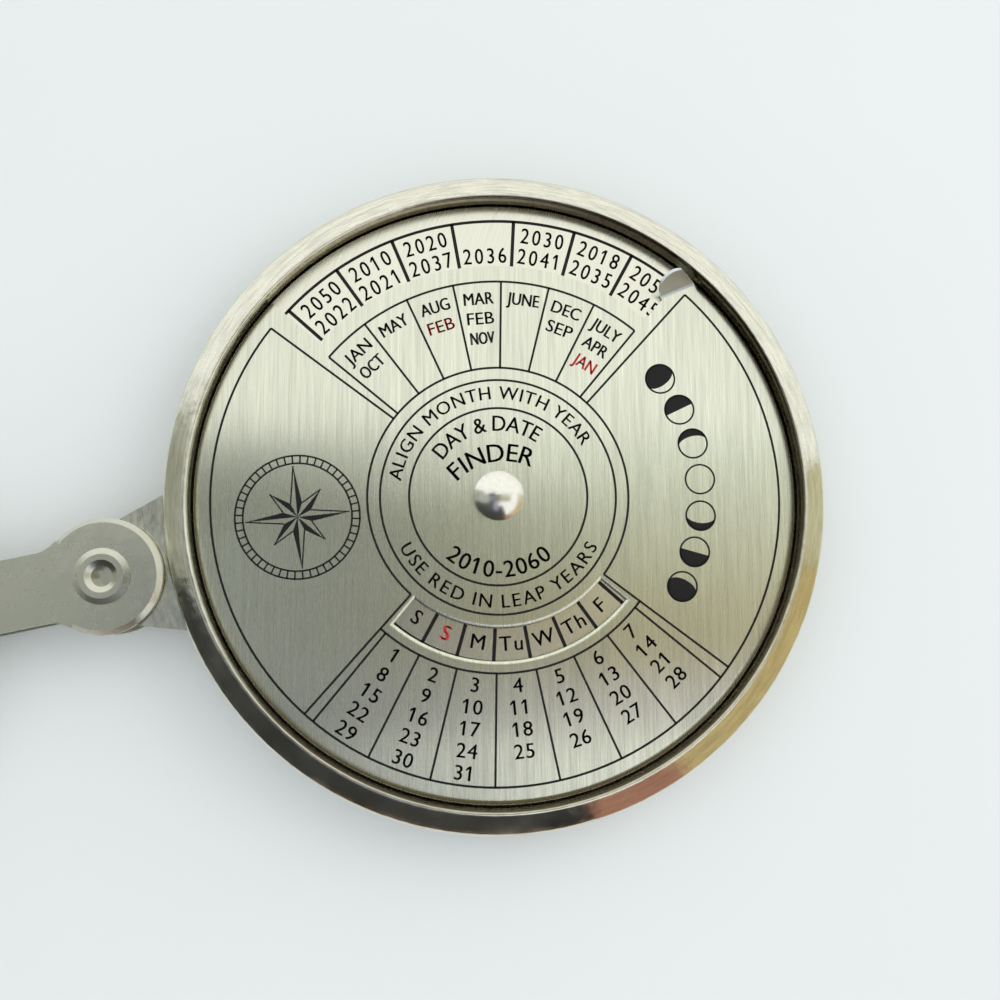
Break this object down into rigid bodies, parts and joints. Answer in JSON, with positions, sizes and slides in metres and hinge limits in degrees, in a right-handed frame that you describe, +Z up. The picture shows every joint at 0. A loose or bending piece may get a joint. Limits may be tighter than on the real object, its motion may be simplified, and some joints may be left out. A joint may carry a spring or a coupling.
{
  "type": "perpetual calendar keyring",
  "caption": "Round perpetual calendar keyring: a riveted dial with a finger tab turns over a printed year and weekday disc in a round metal case, with a swivelling strap link and split ring.",
  "frame": {"origin": "centre of the case's flat back, on the centre rivet's axis", "axes": "+Z up along the centre rivet, -X along the lug towards the split ring"},
  "size_m": [0.0798, 0.0426, 0.0047],
  "materials": {
    "cast_nickel": "polished nickel plate on a zinc casting, slightly worn",
    "printed_plate": "fine brushed steel with black and red printing",
    "washer_steel": "plain spring steel",
    "brushed_plate": "straight brushed steel with black and red printing",
    "rivet_chrome": "polished",
    "link_nickel": "tumbled nickel plate with bright bevels",
    "ring_steel": "polished spring steel"
  },
  "bodies": {
    "case_body": {"case": "cast_nickel", "year_disc": "printed_plate", "friction_washer": "washer_steel", "centre_rivet": "rivet_chrome"},
    "dial_body": {"dial": "brushed_plate"},
    "link_body": {"link_strap": "link_nickel", "link_rivet": "link_nickel"},
    "ring_body": {"split_ring": "ring_steel"}
  },
  "joints": [
    {"name": "dial_turn", "type": "hinge", "parent": "case_body", "child": "dial_body", "pos_m": [0, 0, 0.00312], "axis": [0, 0, 1], "continuous": true},
    {"name": "link_swing", "type": "hinge", "parent": "case_body", "child": "link_body", "pos_m": [-0.0252, 0, 0.00221], "axis": [0, 0, 1], "range_deg": [-65, 65]},
    {"name": "ring_swing", "type": "hinge", "parent": "link_body", "child": "ring_body", "pos_m": [-0.0342, 0, 0.00221], "axis": [0, 1, 0], "range_deg": [-120, 120]}
  ]
}
